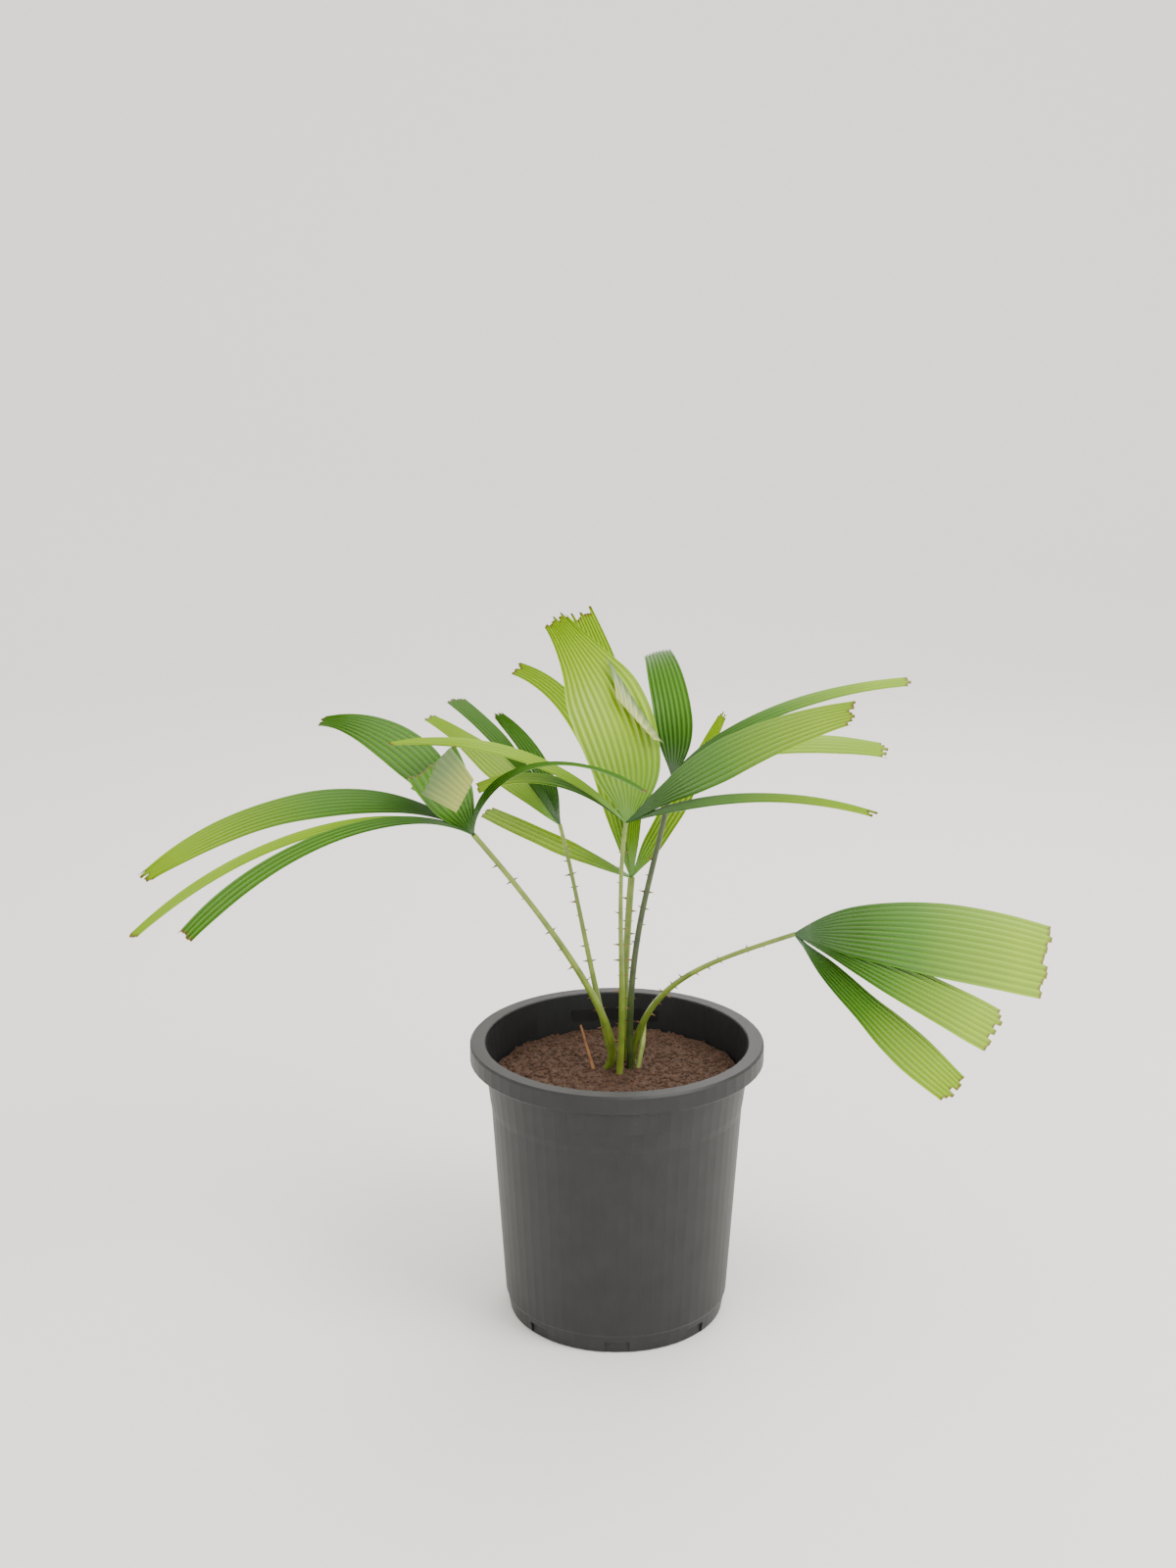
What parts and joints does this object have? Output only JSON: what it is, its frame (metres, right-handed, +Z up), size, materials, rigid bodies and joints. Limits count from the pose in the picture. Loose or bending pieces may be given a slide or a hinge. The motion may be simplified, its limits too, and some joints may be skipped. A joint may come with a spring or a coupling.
{
  "type": "potted fan palm",
  "caption": "Young fan palm with split, square-cut fronds on slender spiny petioles, in a round black nursery pot with a wide rim.",
  "frame": {"origin": "centre of the flat underside of the pot, on its axis", "axes": "+Z up, +X to the right as the picture shows the plant, -Y toward the viewer"},
  "size_m": [0.9105, 0.4004, 0.7385],
  "materials": {
    "pot": "satin moulded",
    "soil": "damp crumbly potting mix",
    "stem": "dry fibre",
    "petiole": "satin",
    "spear": "satin",
    "frond": "glossy leaf"
  },
  "bodies": {
    "root": {"pot": "pot", "soil": "soil", "stem": "stem", "spear": "spear", "dry_stub": "stem", "petiole_left": "petiole", "petiole_front": "petiole", "petiole_low": "petiole", "petiole_back": "petiole", "petiole_inner": "petiole", "petiole_right": "petiole", "frond_left": "frond", "frond_front": "frond", "frond_low": "frond", "frond_back": "frond", "frond_inner": "frond", "frond_right": "frond"}
  },
  "joints": []
}
